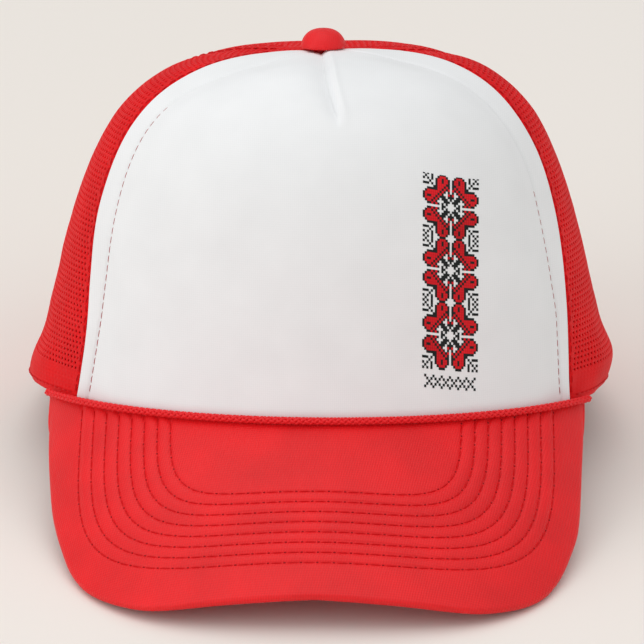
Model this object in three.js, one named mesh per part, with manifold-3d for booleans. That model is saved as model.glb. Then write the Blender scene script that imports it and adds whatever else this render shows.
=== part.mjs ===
// A foam-front cap: one padded front panel, four net panels, a stitched peak with
// a rope along its joint, a covered button, a sweatband, and a bound arch at the
// back with its closing strap. Millimetres, +Z up. The peak points to -Y and left
// means -X. The cap lies on the floor on the two corners of its peak and on the
// flat stretch at the back of its rim.
import * as THREE from 'three';
import { mergeVertices } from 'three/addons/utils/BufferGeometryUtils.js';
import Module from 'manifold-3d';

const { abs, acos, asin, cos, hypot, max, min, sign, sin, sqrt } = Math;
const { degToRad: deg, smoothstep } = THREE.MathUtils;

// Crown, on its outer face
const CROWN_HALF_WIDTH = 95;
const CROWN_FRONT = 86;
const CROWN_BACK = 104;
const CROWN_TOP = 133;
const BUTTON_AHEAD = 4.5;
const RIM_FLAT_BEHIND = 85;

// How round the crown's side view and top view are, and how it narrows above the rim
const ROUND_UP = 2.35;
const ROUND_ACROSS = 2.91;
const WAIST = 0.3;
const WAIST_FADE = 0.94;
const FRONT_LIFT = 0.21;
const RIGHT_LIFT = 0.012;

// Walls and the clearances between pieces
const FOAM = 3;
const NET = 1.2;
const NET_SINK = 0.4;
const NET_PUFF = 1.2;
const SEAM_GAP = 0.3;
const TOP_HOLE = 3.8;

// Pinched dart at the top of the front panel
const DART_DEPTH = 1.6;
const DART_WIDTH = 3;
const DART_LEAN = 5.4;
const DART_END = 0.62;

// Peak
const PEAK_SLOPE = deg(25.5);
const PEAK_ARCH = 58;
const PEAK_LENGTH = 67;
const PEAK_FLARE = 16.5;
const PEAK_THICK = 3;
const PEAK_LEFT_END = deg(64.5);
const PEAK_RIGHT_END = deg(61.5);

// Trim
const ROPE_RADIUS = 1.25;
const BUTTON_RADIUS = 7.15;
const BUTTON_HEIGHT = 6.2;
const BAND_HEIGHT = 26;
const BAND_THICK = 1.5;
const BAND_HUG = 12;
const BAND_LEAN = 5;
const BAND_EASE = deg(10);
const BAND_END = deg(136);

// Arch at the back, its binding and the strap across it
const ARCH_HALF_WIDTH = 41;
const ARCH_HEIGHT = 55;
const BINDING_WIDTH = 8;
const BINDING_PROUD = 0.2;
const BINDING_THICK = 2.2;
const STRAP_HEIGHT = 19;
const STRAP_RAISED = 2;
const STRAP_THICK = 1.2;
const STRAP_LAP = 46;
const LAP_INSET = 1.2;
const STRAP_ENDS = deg(138);
const STUDS = 6;
const STUD_RADIUS = 2.2;
const STUD_PROUD = 0.9;

// Seams round the crown, in degrees from the front, at shares of the way up
const SEAMS = [
  { up: 0.0, left: 54.7, right: 56.4, back: 108 },
  { up: 0.1, left: 56, right: 61, back: 108 },
  { up: 0.2, left: 58.8, right: 64.5, back: 108 },
  { up: 0.32, left: 62.4, right: 68, back: 109 },
  { up: 0.46, left: 64.4, right: 71, back: 110 },
  { up: 0.61, left: 66, right: 74, back: 112 },
  { up: 0.78, left: 67.5, right: 82, back: 115 },
  { up: 0.9, left: 72, right: 92, back: 121 },
  { up: 1.0, left: 80, right: 100, back: 130 },
];

// Outer edge of the peak: round the rim as a share of its ends' angle, then how far
// the edge flares past the rim and reaches out from it, as shares of flare and length
const PEAK_EDGE = [
  { round: 0, flare: 0, reach: 0.995 },
  { round: 0.143, flare: 0.69, reach: 1.015 },
  { round: 0.286, flare: 1.04, reach: 1.03 },
  { round: 0.4, flare: 1.04, reach: 1.01 },
  { round: 0.514, flare: 0.96, reach: 0.96 },
  { round: 0.629, flare: 0.72, reach: 0.9 },
  { round: 0.743, flare: 0.47, reach: 0.795 },
  { round: 0.829, flare: 0.33, reach: 0.635 },
  { round: 0.9, flare: 0.17, reach: 0.44 },
  { round: 0.957, flare: 0.04, reach: 0.225 },
  { round: 1, flare: 0.01, reach: 0.02 },
];

// Smooth reading of a table's column between its rows
function follow(rows, key, column, at) {
  let n = 1;
  while (n < rows.length - 1 && rows[n][key] < at) n += 1;
  const [a, b] = [rows[n - 1], rows[n]];
  const before = rows[max(n - 2, 0)];
  const after = rows[min(n + 1, rows.length - 1)];
  const width = b[key] - a[key];
  const share = min(max((at - a[key]) / width, 0), 1);
  const slopeA = ((b[column] - before[column]) / (b[key] - before[key])) * width;
  const slopeB = ((after[column] - a[column]) / (after[key] - a[key])) * width;
  const s2 = share * share;
  const s3 = s2 * share;
  return a[column] * (2 * s3 - 3 * s2 + 1) + slopeA * (s3 - 2 * s2 + share)
    + b[column] * (3 * s2 - 2 * s3) + slopeB * (s3 - s2);
}

function steps(count, from, to) {
  return Array.from({ length: count + 1 }, (_, i) => from + ((to - from) * i) / count);
}

// The peak is an arched board that slopes down from the front of the rim.
// Across is x, out is the distance along the slope, and lift is square to the slope.
function onSlope(x, out, lift, frontHeight) {
  return new THREE.Vector3(
    x,
    -CROWN_FRONT - out * cos(PEAK_SLOPE) - lift * sin(PEAK_SLOPE),
    frontHeight - out * sin(PEAK_SLOPE) + lift * cos(PEAK_SLOPE),
  );
}

function archDrop(x) {
  return PEAK_ARCH * (1 - sqrt(1 - (x / CROWN_HALF_WIDTH) ** 2));
}

function archNormal(x) {
  const share = x / CROWN_HALF_WIDTH;
  const fall = (PEAK_ARCH / CROWN_HALF_WIDTH) * (share / sqrt(1 - share * share));
  return new THREE.Vector3(fall, -sin(PEAK_SLOPE), cos(PEAK_SLOPE)).normalize();
}

function peakFace(x, out, depth, frontHeight) {
  return onSlope(x, out, -archDrop(x), frontHeight).addScaledVector(archNormal(x), -depth);
}

// The rim's place along the slope, from the front of the rim back to the temples
const rimRun = (CROWN_FRONT - PEAK_ARCH * sin(PEAK_SLOPE)) / cos(PEAK_SLOPE);

function peakEdge(t) {
  const round = abs(t) / (t < 0 ? PEAK_LEFT_END : PEAK_RIGHT_END);
  const flare = PEAK_FLARE * follow(PEAK_EDGE, 'round', 'flare', round);
  const reach = PEAK_LENGTH * follow(PEAK_EDGE, 'round', 'reach', round);
  return {
    x: sign(t) * (CROWN_HALF_WIDTH * sin(abs(t)) + flare),
    out: reach - rimRun * (1 - cos(t)),
  };
}

// The corners of the peak stand on the floor, which sets the height of the rim
function cornerDrop() {
  const heights = steps(160, -PEAK_LEFT_END, PEAK_RIGHT_END).map((t) => {
    const edge = peakEdge(t);
    return peakFace(edge.x, edge.out, SEAM_GAP + PEAK_THICK, 0).z;
  });
  return -min(...heights);
}
const rimFront = cornerDrop();
const rimFall = (PEAK_ARCH - CROWN_FRONT * sin(PEAK_SLOPE)) / cos(PEAK_SLOPE);
const rimSide = rimFront - rimFall;
const rimCurve = ((rimFall / CROWN_FRONT) * RIM_FLAT_BEHIND) / rimSide;

// Rim of the crown at an angle round it, 0 at the front and positive to the right
function rim(t) {
  const x = CROWN_HALF_WIDTH * sin(t);
  if (cos(t) > 0) {
    return new THREE.Vector3(x, -CROWN_FRONT * cos(t), rimFront - rimFall * (1 - cos(t)));
  }
  const y = -CROWN_BACK * cos(t);
  return new THREE.Vector3(x, y, rimSide * max(0, 1 - y / RIM_FLAT_BEHIND) ** rimCurve);
}

// Outer face of the crown, from the rim (up = 0) to the button (up = 1)
function crown(t, up) {
  const root = rim(t);
  const turn = (up * Math.PI) / 2;
  const rise = sin(turn) ** (2 / ROUND_UP);
  const waist = 1 - WAIST * rise * (1 - rise) ** WAIST_FADE;
  const spread = max(cos(turn), 0) ** (2 / ROUND_ACROSS) * waist;
  const x = root.x * spread;
  const behind = (root.y + BUTTON_AHEAD) * spread;
  const lift = RIGHT_LIFT * x * rise ** 4 - FRONT_LIFT * behind * rise ** 2;
  return new THREE.Vector3(x, behind - BUTTON_AHEAD, root.z + (CROWN_TOP - root.z) * rise + lift);
}

function crownNormal(t, up) {
  const small = 1e-3;
  const round = crown(t + small, up).sub(crown(t - small, up));
  const along = crown(t, min(up + small, 1)).sub(crown(t, max(up - small, 0)));
  return round.cross(along).normalize();
}

// A point under the crown's face. At the rim all depths lie level.
function inside(t, up, depth) {
  const face = crown(t, up);
  const point = face.clone().addScaledVector(crownNormal(t, up), -depth);
  if (up === 0) point.z = face.z;
  return point;
}

function upAt(t, height) {
  let [low, high] = [0, 0.9];
  for (let n = 0; n < 40; n += 1) {
    const middle = (low + high) / 2;
    if (crown(t, middle).z < height) low = middle;
    else high = middle;
  }
  return (low + high) / 2;
}

// Rows up the crown, evenly spread along its side view, ending round the button's stalk
const topRow = (acos((TOP_HOLE / CROWN_HALF_WIDTH) ** (ROUND_ACROSS / 2)) * 2) / Math.PI;
function rowsUp(count) {
  const samples = steps(400, 0, topRow);
  const points = samples.map((up) => crown(Math.PI / 2, up));
  const run = [0];
  points.slice(1).forEach((p, i) => run.push(run[i] + p.distanceTo(points[i])));
  return steps(count, 0, run.at(-1)).map((length, i) => {
    if (i === 0) return 0;
    if (i === count) return topRow;
    return samples[run.findIndex((r) => r >= length)];
  });
}

// Half of the seam's gap as an angle, at a height on the crown
function seamHalf(t, up) {
  const p = crown(t, up);
  return asin(SEAM_GAP / 2 / hypot(p.x, p.y + BUTTON_AHEAD));
}
function seam(side, up) {
  return deg(follow(SEAMS, 'up', side, up));
}

// A closed sheet between two grids of points. Seen from outside, rows run up and
// columns run to the right.
function closedSheet(outer, inner) {
  const rows = outer.length;
  const columns = outer[0].length;
  const positions = [...outer.flat(), ...inner.flat()].flatMap((p) => p.toArray());
  const out = (row, column) => row * columns + column;
  const back = (row, column) => rows * columns + out(row, column);
  const index = [];
  const quad = (a, b, c, d) => index.push(a, b, c, a, c, d);
  for (let r = 0; r < rows - 1; r += 1) {
    for (let c = 0; c < columns - 1; c += 1) {
      quad(out(r, c), out(r, c + 1), out(r + 1, c + 1), out(r + 1, c));
      quad(back(r, c), back(r + 1, c), back(r + 1, c + 1), back(r, c + 1));
    }
  }
  for (let c = 0; c < columns - 1; c += 1) {
    quad(out(0, c), back(0, c), back(0, c + 1), out(0, c + 1));
    quad(out(rows - 1, c), out(rows - 1, c + 1), back(rows - 1, c + 1), back(rows - 1, c));
  }
  for (let r = 0; r < rows - 1; r += 1) {
    quad(out(r, 0), out(r + 1, 0), back(r + 1, 0), back(r, 0));
    const last = columns - 1;
    quad(out(r, last), back(r, last), back(r + 1, last), out(r + 1, last));
  }
  const geometry = new THREE.BufferGeometry();
  geometry.setAttribute('position', new THREE.Float32BufferAttribute(positions, 3));
  geometry.setIndex(index);
  return geometry;
}

// A panel of the crown between two seams, with its rows and its two depths
function crownPanel({ rows, columns, left, right, outerDepth, innerDepth }) {
  const grid = (depth) => rows.map((up) => columns.map((share) => {
    const t = left(up) + (right(up) - left(up)) * share;
    return inside(t, up, depth(t, up, share));
  }));
  return closedSheet(grid(outerDepth), grid(innerDepth));
}

// Joins and cuts
const wasm = await Module();
wasm.setup();

function solid(geometry) {
  const bare = geometry.clone();
  bare.deleteAttribute('normal');
  bare.deleteAttribute('uv');
  const merged = mergeVertices(bare, 1e-4);
  const vertProperties = Float32Array.from(merged.attributes.position.array);
  const triVerts = Uint32Array.from(merged.index.array);
  return new wasm.Manifold(new wasm.Mesh({ numProp: 3, vertProperties, triVerts }));
}

function toGeometry(manifold) {
  const mesh = manifold.getMesh();
  const geometry = new THREE.BufferGeometry();
  geometry.setAttribute('position', new THREE.BufferAttribute(mesh.vertProperties, 3));
  geometry.setIndex(new THREE.BufferAttribute(mesh.triVerts, 1));
  return geometry;
}

// Materials
const white = new THREE.MeshStandardMaterial({ color: 0xf2f0ed, roughness: 0.85 });
const redCloth = new THREE.MeshStandardMaterial({ color: 0xd8202c, roughness: 0.8 });
const redNet = new THREE.MeshStandardMaterial({ color: 0xc81824, roughness: 0.7 });
const redRope = new THREE.MeshStandardMaterial({ color: 0xd01824, roughness: 0.55 });
const redPlastic = new THREE.MeshStandardMaterial({ color: 0xc01620, roughness: 0.4 });

const cap = new THREE.Group();
function add(name, geometry, material) {
  const piece = new THREE.Mesh(geometry, material);
  piece.name = name;
  cap.add(piece);
  return piece;
}

// Front panel: a foam wall, pressed in along the dart below the button
function dartDepth(t, up) {
  const reach = (1 - up) / (1 - DART_END);
  if (reach > 1 || up === 0) return 0;
  const away = (crown(t, up).x - DART_LEAN * reach) / DART_WIDTH;
  return DART_DEPTH * Math.exp(-away * away) * sin(Math.PI * min(1, reach + 0.35) ** 2);
}

function frontPanel() {
  const half = 13;
  const columns = steps(2 * half, -1, 1).map((n) => (1 + sign(n) * abs(n) ** 1.35) / 2);
  return crownPanel({
    rows: rowsUp(18),
    columns,
    left: (up) => -seam('left', up) + seamHalf(-seam('left', up), up),
    right: (up) => seam('right', up) - seamHalf(seam('right', up), up),
    outerDepth: dartDepth,
    innerDepth: (t, up) => FOAM + dartDepth(t, up),
  });
}
add('front_panel', frontPanel(), white);

// Net panels: one beside each end of the front panel, and two that meet at the back.
// The soft net puffs out between its seams below the button.
function netFace(t, up, share) {
  const upper = smoothstep(up, 0.35, 0.75) * (1 - smoothstep(up, 0.9, 1));
  return NET_SINK - NET_PUFF * upper * sin(Math.PI * share) ** 0.7;
}

const NET_ROWS = 15;
const BACK_COLUMNS = 12;
function netPanel(left, right, count) {
  return crownPanel({
    rows: rowsUp(NET_ROWS),
    columns: steps(count, 0, 1),
    left: (up) => left(up) + seamHalf(left(up), up),
    right: (up) => right(up) - seamHalf(right(up), up),
    outerDepth: netFace,
    innerDepth: (t, up, share) => netFace(t, up, share) + NET,
  });
}
const backOf = (up) => seam('back', up);
add('mesh_side_left', netPanel((up) => -backOf(up), (up) => -seam('left', up), 8), redNet);
add('mesh_side_right', netPanel((up) => seam('right', up), backOf, 8), redNet);

// The arch is half an ellipse that stands on the rim, cut through along Y
function archBlock(grown) {
  const halfWidth = ARCH_HALF_WIDTH + grown;
  const height = ARCH_HEIGHT + grown;
  const shape = new THREE.Shape();
  shape.moveTo(-halfWidth, -height);
  shape.lineTo(halfWidth, -height);
  shape.lineTo(halfWidth, 0);
  shape.absellipse(0, 0, halfWidth, height, 0, Math.PI, false);
  const block = new THREE.ExtrudeGeometry(shape, {
    depth: 2 * CROWN_BACK, bevelEnabled: false, curveSegments: 24,
  });
  return solid(block.rotateX(Math.PI / 2).translate(0, 2.2 * CROWN_BACK, 0));
}
const netCut = archBlock(BINDING_WIDTH + SEAM_GAP);
const backLeft = netPanel(() => -Math.PI, (up) => -backOf(up), BACK_COLUMNS);
const backRight = netPanel(backOf, () => Math.PI, BACK_COLUMNS);
add('mesh_back_left', toGeometry(solid(backLeft).subtract(netCut)), redNet);
add('mesh_back_right', toGeometry(solid(backRight).subtract(netCut)), redNet);

// Binding: the strip of the crown's face between the arch and the net
function archBinding() {
  const face = NET_SINK - BINDING_PROUD;
  const sheet = crownPanel({
    rows: rowsUp(NET_ROWS),
    columns: steps(2 * BACK_COLUMNS, 0, 1),
    left: backOf,
    right: (up) => 2 * Math.PI - backOf(up),
    outerDepth: () => face,
    innerDepth: () => face + BINDING_THICK,
  });
  return toGeometry(solid(sheet).intersect(archBlock(BINDING_WIDTH)).subtract(archBlock(0)));
}
add('arch_binding', archBinding(), redCloth);

// Peak: the arched board outside the rim, and a level flange under the crown's wall
const flange = FOAM + SEAM_GAP + BAND_THICK;
function peak() {
  const columns = [
    ...steps(20, -PEAK_LEFT_END, 0),
    ...steps(20, 0, PEAK_RIGHT_END).slice(1),
  ];
  const rows = steps(6, 1, 0);
  const face = (depth) => rows.map((share) => columns.map((t) => {
    const edge = peakEdge(t);
    const root = { x: CROWN_HALF_WIDTH * sin(t), out: -rimRun * (1 - cos(t)) };
    const x = root.x + (edge.x - root.x) * share;
    const out = root.out + (edge.out - root.out) * share;
    return peakFace(x, out, depth, rimFront);
  }));
  const under = (depth) => columns.map((t) => {
    const foot = inside(t, 0, flange);
    foot.z -= depth;
    return foot;
  });
  const top = [...face(SEAM_GAP), under(SEAM_GAP)];
  const bottom = [...face(SEAM_GAP + PEAK_THICK), under(SEAM_GAP + PEAK_THICK)];
  return closedSheet(top, bottom);
}
add('peak', peak(), redCloth);

// Rope: it lies in the corner between the crown's wall and the peak
function ropePoint(t) {
  const wall = rim(t);
  const away = crownNormal(t, 0).setZ(0).normalize();
  const clear = ROPE_RADIUS + SEAM_GAP;
  const normal = archNormal(wall.x);
  const fall = normal.dot(away) / normal.z;
  wall.addScaledVector(away, clear);
  wall.z += clear * (sqrt(1 + fall * fall) - fall) - SEAM_GAP;
  return wall;
}

function rope() {
  const turns = steps(26, -PEAK_LEFT_END, PEAK_RIGHT_END);
  const path = new THREE.CatmullRomCurve3(turns.map(ropePoint));
  const ring = new THREE.Shape();
  ring.absarc(0, 0, ROPE_RADIUS, 0, 2 * Math.PI, false);
  return new THREE.ExtrudeGeometry(ring, { extrudePath: path, steps: 52, curveSegments: 4 });
}
add('rope', rope(), redRope);

// Button: a covered dome on the panels' meeting point, square to the crown there
function button() {
  const profile = [new THREE.Vector2(0, 0), new THREE.Vector2(BUTTON_RADIUS * 0.94, 0)];
  steps(5, 0.1, 1).forEach((share) => {
    const turn = (share * Math.PI) / 2;
    profile.push(new THREE.Vector2(BUTTON_RADIUS * cos(turn) ** 0.8, BUTTON_HEIGHT * sin(turn)));
  });
  profile.at(-1).x = 0;
  return new THREE.LatheGeometry(profile, 20).rotateX(Math.PI / 2);
}
const knob = add('button', button(), redCloth);
const topNormal = new THREE.Vector3(-RIGHT_LIFT, FRONT_LIFT, 1).normalize();
knob.quaternion.setFromUnitVectors(new THREE.Vector3(0, 0, 1), topNormal);
knob.position.set(0, -BUTTON_AHEAD, CROWN_TOP).addScaledVector(topNormal, SEAM_GAP);

// Sweatband: it hugs the wall along the rim, then leans in, and stops at the arch
function bandDepth(t) {
  const netSide = NET_SINK + NET;
  const pastSeam = abs(t) - seam(t < 0 ? 'left' : 'right', 0);
  const share = smoothstep(pastSeam, BAND_EASE * 0.2, BAND_EASE * 1.2);
  return FOAM + (netSide - FOAM) * share + SEAM_GAP;
}

function sweatband() {
  const heights = [
    { above: 0, lean: 0 },
    { above: BAND_HUG, lean: 0 },
    { above: (BAND_HUG + BAND_HEIGHT) / 2, lean: BAND_LEAN * 0.4 },
    { above: BAND_HEIGHT, lean: BAND_LEAN },
  ];
  const columns = steps(48, -BAND_END, BAND_END);
  const grid = (thick) => heights.map(({ above, lean }) => columns.map((t) => {
    const up = above === 0 ? 0 : upAt(t, rim(t).z + above);
    return inside(t, up, bandDepth(t) + lean + thick);
  }));
  return closedSheet(grid(0), grid(BAND_THICK));
}
add('sweatband', sweatband(), redCloth);

// Strap: a band inside the rim across the arch, double at its lap, with a row of studs
const strapDepth = NET_SINK - BINDING_PROUD + BINDING_THICK + SEAM_GAP;
function strapSheet(from, to, low, high, depth, thick) {
  const columns = steps(24, from, to);
  const grid = (deep) => [low, high].map((height) => columns.map((t) => {
    return inside(t, upAt(t, height), deep);
  }));
  return solid(closedSheet(grid(depth), grid(depth + thick)));
}

function snapStrap() {
  const top = STRAP_RAISED + STRAP_HEIGHT;
  const lapTurn = asin(STRAP_LAP / 2 / CROWN_HALF_WIDTH);
  const studTurn = lapTurn * (1 - 2 * STUD_RADIUS / STRAP_LAP) * (1 - 1 / (2 * STUDS));
  const middle = Math.PI;
  const farEnd = 2 * middle - STRAP_ENDS;
  let strap = strapSheet(STRAP_ENDS, farEnd, STRAP_RAISED, top, strapDepth, STRAP_THICK);
  const lap = strapSheet(middle - lapTurn, middle + lapTurn, STRAP_RAISED + LAP_INSET,
    top - LAP_INSET, strapDepth + STRAP_THICK / 2, 1.5 * STRAP_THICK);
  strap = strap.add(lap);
  steps(STUDS - 1, middle - studTurn, middle + studTurn).forEach((t) => {
    const up = upAt(t, STRAP_RAISED + STRAP_HEIGHT / 2);
    const stud = new THREE.CylinderGeometry(STUD_RADIUS, STUD_RADIUS, STUD_PROUD + STRAP_THICK, 10);
    const outward = crownNormal(t, up);
    const turn = new THREE.Quaternion().setFromUnitVectors(new THREE.Vector3(0, 1, 0), outward);
    const centre = inside(t, up, strapDepth + (STRAP_THICK - STUD_PROUD) / 2);
    strap = strap.add(solid(stud.applyQuaternion(turn).translate(...centre.toArray())));
  });
  return toGeometry(strap);
}
add('snap_strap', snapStrap(), redPlastic);

// The origin is under the middle of the cap, on the floor
cap.updateMatrixWorld(true);
const box = new THREE.Box3().setFromObject(cap);
const centre = box.getCenter(new THREE.Vector3());
cap.position.set(-centre.x, -centre.y, -box.min.z);
cap.updateMatrixWorld(true);

export default cap;
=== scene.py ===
# A foam-front cap with a net back and a curved, stitched peak. Lengths are
# millimetres in the crown's own frame, where x is across and -y is ahead, until
# metres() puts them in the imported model's frame.
import math

import bpy
import numpy as np
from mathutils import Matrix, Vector


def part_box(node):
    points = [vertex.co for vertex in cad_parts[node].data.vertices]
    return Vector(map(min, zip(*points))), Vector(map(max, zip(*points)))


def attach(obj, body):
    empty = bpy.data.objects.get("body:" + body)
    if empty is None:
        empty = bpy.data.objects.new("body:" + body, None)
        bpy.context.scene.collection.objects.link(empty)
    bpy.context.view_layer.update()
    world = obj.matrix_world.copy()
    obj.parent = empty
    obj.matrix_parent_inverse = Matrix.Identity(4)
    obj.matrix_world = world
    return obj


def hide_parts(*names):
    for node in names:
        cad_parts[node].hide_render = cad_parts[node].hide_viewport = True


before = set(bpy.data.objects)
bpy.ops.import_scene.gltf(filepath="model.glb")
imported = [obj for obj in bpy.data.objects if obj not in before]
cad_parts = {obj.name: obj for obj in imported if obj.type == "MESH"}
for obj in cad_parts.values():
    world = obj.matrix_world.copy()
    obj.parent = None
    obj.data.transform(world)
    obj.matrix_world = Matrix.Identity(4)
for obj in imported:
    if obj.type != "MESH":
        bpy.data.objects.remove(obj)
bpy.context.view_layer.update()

# Crown, on its outer face
CROWN_HALF_WIDTH = 95
CROWN_FRONT = 86
CROWN_BACK = 104
CROWN_TOP = 133
BUTTON_AHEAD = 4.5
RIM_FLAT_BEHIND = 85
ROUND_UP = 2.35
ROUND_ACROSS = 2.91
WAIST = 0.3
WAIST_FADE = 0.94
FRONT_LIFT = 0.21
RIGHT_LIFT = 0.012

# Walls and clearances
FOAM = 3
NET = 0.6
NET_ROOM = 1.2
NET_SINK = 0.4
SEAM_GAP = 0.3
TOP_HOLE = 3.8

# Peak
PEAK_SLOPE = math.radians(25.5)
PEAK_ARCH = 58
PEAK_LENGTH = 67
PEAK_FLARE = 16.5
PEAK_THICK = 3
PEAK_ROUND = 1.42
PEAK_LEFT_END = math.radians(64.5)
PEAK_RIGHT_END = math.radians(61.5)

# Stitch rows on the peak: how wide and how far ahead the inner and outer rows reach,
# and how square their corners are
ROWS = 8
ROWS_CENTRE = -0.9
ROWS_ROOT = -20
INNER_ROW = {"half": 45.0, "reach": 27.0, "square": 5.0}
OUTER_ROW = {"half": 74.2, "reach": 54.0, "square": 3.9}
ROW_GROOVE = 0.34
ROW_GROOVE_HALF = 0.6
ROW_SWELL = 0.26
PEAK_STITCH = {"pitch": 4.9, "length": 3.9, "radius": 0.19}
# Short dark pieces in the gaps between the peak's stitches: painted shade of the needle holes
PEAK_HOLE_SHADE = {"pitch": 4.9, "length": 0.6, "radius": 0.2, "shift": 0.5}

# Trim
ROPE_RADIUS = 1.25
ROPE_LEAD = 8.6
ROPE_STRANDS = 8
ROPE_STEP = 0.34
BUTTON_RADIUS = 7.15
BUTTON_HEIGHT = 6.2
BAND_HEIGHT = 26
BAND_THICK = 1.5
BAND_HUG = 12
BAND_LEAN = 5
BAND_FOLD = 4.2
BAND_EASE = math.radians(10)
BAND_END = math.radians(136)
ARCH_HALF_WIDTH = 41
ARCH_HEIGHT = 55
BINDING_WIDTH = 8
BINDING_PROUD = 0.2
BINDING_THICK = 2.2
BINDING_STITCH = 1.5
STRAP_HEIGHT = 19
STRAP_RAISED = 2
STRAP_THICK = 1.2
STRAP_LAP = 46
LAP_INSET = 1.2
STRAP_ENDS = math.radians(138)
STUDS = 6
STUD_RADIUS = 2.2
STUD_PROUD = 0.9
STUD_SIDES = 24

# Net: six-sided knitted cells, filled in where the net is doubled at its hem. Its hem
# is tucked in at the sides, between these turns in degrees, and bulges above the tuck.
HOLE_PITCH = 2.3
HOLE_ROW = 1.8
HOLE_SHARE = 0.42
CELL_SUNK = np.array([-0.02, 0.03, 0.1])
CELL_THINNER = np.array([0, 0.1, 0.2])
HEM_HEIGHT = 9.5
HEM_STITCH = 1.8
PUCKER_DEPTH = 0.26
PUCKER_LENGTH = 6.4
PUCKER_FADE = 4.5
HEM_STARTS = (62, 78)
HEM_ENDS = (140, 152)
HEM_LEFT = {"bulge": 2.0, "at": 5, "width": 9, "tuck": 1.0, "fold": 2.5}
HEM_RIGHT = {"bulge": 1.9, "at": 11, "width": 7, "tuck": 3.0, "fold": 9}

# The net puffs out between its seams, and sags a little beside the button
NET_PUFF = 1.2
PUFF_STARTS = (0.35, 0.75)
PUFF_ENDS = (0.8, 0.95)
RIGHT_PUFF = 1.2
RIGHT_PUFF_UP = 0.62
RIGHT_PUFF_HALF = 0.24
LEFT_SAG = 1.2
RIGHT_SAG = 2.4
SAG_UP = 0.9
SAG_HALF = 0.08

# Stitches beside the net's seams
SEAM_STITCH = 2.6
FRONT_STITCH = 0.75
NET_MARGIN = 0.9

# Pinched dart below the button, and the topstitch beside the front panel's seams
DART_DEPTH = 2.6
DART_LEFT = 3.4
DART_RIGHT = 1.1
DART_LOBE = 0.35
DART_END = 0.62
GROOVE_DEPTH = 0.6
GROOVE_HALF = 0.45
STRIP_STEP = 1.5
STRIP_PROUD = 0.3
STRIP_EASE = 9
STRIP_ENDS = (0.88, 0.975)
FRONT_ROUND = 1.8
FRONT_ROUND_SHARE = 0.75
FRONT_WAVES = 0.12
FOOT_ROUND = 1.0
FOOT_ROUND_SHARE = 0.5
TOPSTITCH = {"pitch": 3.0, "length": 2.9, "radius": 0.21}
NET_STITCH = {"pitch": 3.2, "length": 2.5, "radius": 0.2}

# Seams and topstitches round the crown, in degrees from the front at shares of the way up
SEAMS = {
    "up": [0.0, 0.1, 0.2, 0.32, 0.46, 0.61, 0.78, 0.9, 1.0],
    "left": [54.7, 56, 58.8, 62.4, 64.4, 66, 67.5, 72, 80],
    "right": [56.4, 61, 64.5, 68, 71, 74, 82, 92, 100],
    "back": [108, 108, 108, 109, 110, 112, 115, 121, 130],
}
TOPSTITCHES = {
    "up": [0.0, 0.13, 0.2, 0.32, 0.46, 0.61, 0.72, 0.8, 0.9, 1.0],
    "left": [51.8, 52.8, 53.8, 55.8, 57.5, 57.7, 54.3, 49.4, 43.5, 33],
    "right": [54.2, 58.8, 59.7, 61.2, 63.3, 64, 64.2, 63.8, 63.5, 57.7],
}
THREAD_ENDS = {"left": 0.66, "right": 0.4}

# Crease of the dart: across the panel at shares of the way up
DART = {
    "up": [0.6, 0.64, 0.74, 0.8, 0.91, 1.0],
    "across": [5.5, 5.3, 3.0, 1.9, 0.7, -0.5],
}

# Outer edge of the peak, as shares of its ends' angle, its flare and its length
PEAK_LEFT_FULLER = 0.8
PEAK_RIGHT_FULLER = 2.1
PEAK_EDGE = {
    "round": [0, 0.143, 0.286, 0.4, 0.514, 0.629, 0.743, 0.829, 0.9, 0.957, 1],
    "flare": [0, 0.69, 1.04, 1.04, 0.96, 0.72, 0.47, 0.35, 0.23, 0.13, 0.01],
    "reach": [0.995, 1.015, 1.03, 1.01, 0.96, 0.9, 0.795, 0.635, 0.44, 0.225, 0.02],
}

# Cross-stitch ornament: the lower right quarter of one motif, with its axes along the
# first row and column. r is red, b is black and a dot is bare.
MOTIF = [
    "...bb.........",
    "..b.b.brbrbb..",
    ".bbb...brbrrb.",
    "b.bbb.brbrrrrb",
    "bb.bbbrbrrbbrb",
    "br..brbrrrrrrb",
    ".b.brbrrrrrrb.",
    ".rbrbrrbbbbb..",
    ".brbrrrbb.....",
    ".bbrrrrb.b.bbb",
    ".brrbrrb..b...",
    ".brrbrrb.b.b.b",
    "..brrrb..b..b.",
    "...bbb...b.b.b",
]
BORDER = [
    "b...b...b...b",
    ".b.b.b.b.b.b.",
    "..b...b...b..",
]
MOTIFS = 3
CELL_WIDTH = 0.638
ORNAMENT_CENTRE = 39.95
ORNAMENT_TOP = 110.3
ORNAMENT_DRIFT = 0.003
ROW_FALL = 0.65
ROW_GROWTH = 0.00096
LEAN_TOP = -0.33
LEAN_GROWTH = 0.00083
FILM_PROUD = 0.07
FILM_THICK = 0.12

SHIFT = np.array([0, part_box("front_panel")[0].y * 1000 + CROWN_FRONT, 0])


def metres(points):
    return (np.asarray(points) + SHIFT) / 1000


def follow(table, key, column, at):
    """Smooth reading of one column of a table at places along another."""
    keys = np.array(table[key], float)
    values = np.array(table[column], float)
    at = np.asarray(at, float)
    n = np.clip(np.searchsorted(keys, at), 1, len(keys) - 1)
    before = np.maximum(n - 2, 0)
    after = np.minimum(n + 1, len(keys) - 1)
    width = keys[n] - keys[n - 1]
    share = np.clip((at - keys[n - 1]) / width, 0, 1)
    slope_a = (values[n] - values[before]) / (keys[n] - keys[before]) * width
    slope_b = (values[after] - values[n - 1]) / (keys[after] - keys[n - 1]) * width
    s2, s3 = share**2, share**3
    return (
        values[n - 1] * (2 * s3 - 3 * s2 + 1)
        + slope_a * (s3 - 2 * s2 + share)
        + values[n] * (3 * s2 - 2 * s3)
        + slope_b * (s3 - s2)
    )


def smoothstep(x, low, high):
    share = np.clip((x - low) / (high - low), 0, 1)
    return share * share * (3 - 2 * share)


def unit(vectors):
    return vectors / np.linalg.norm(vectors, axis=-1, keepdims=True)


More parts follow.
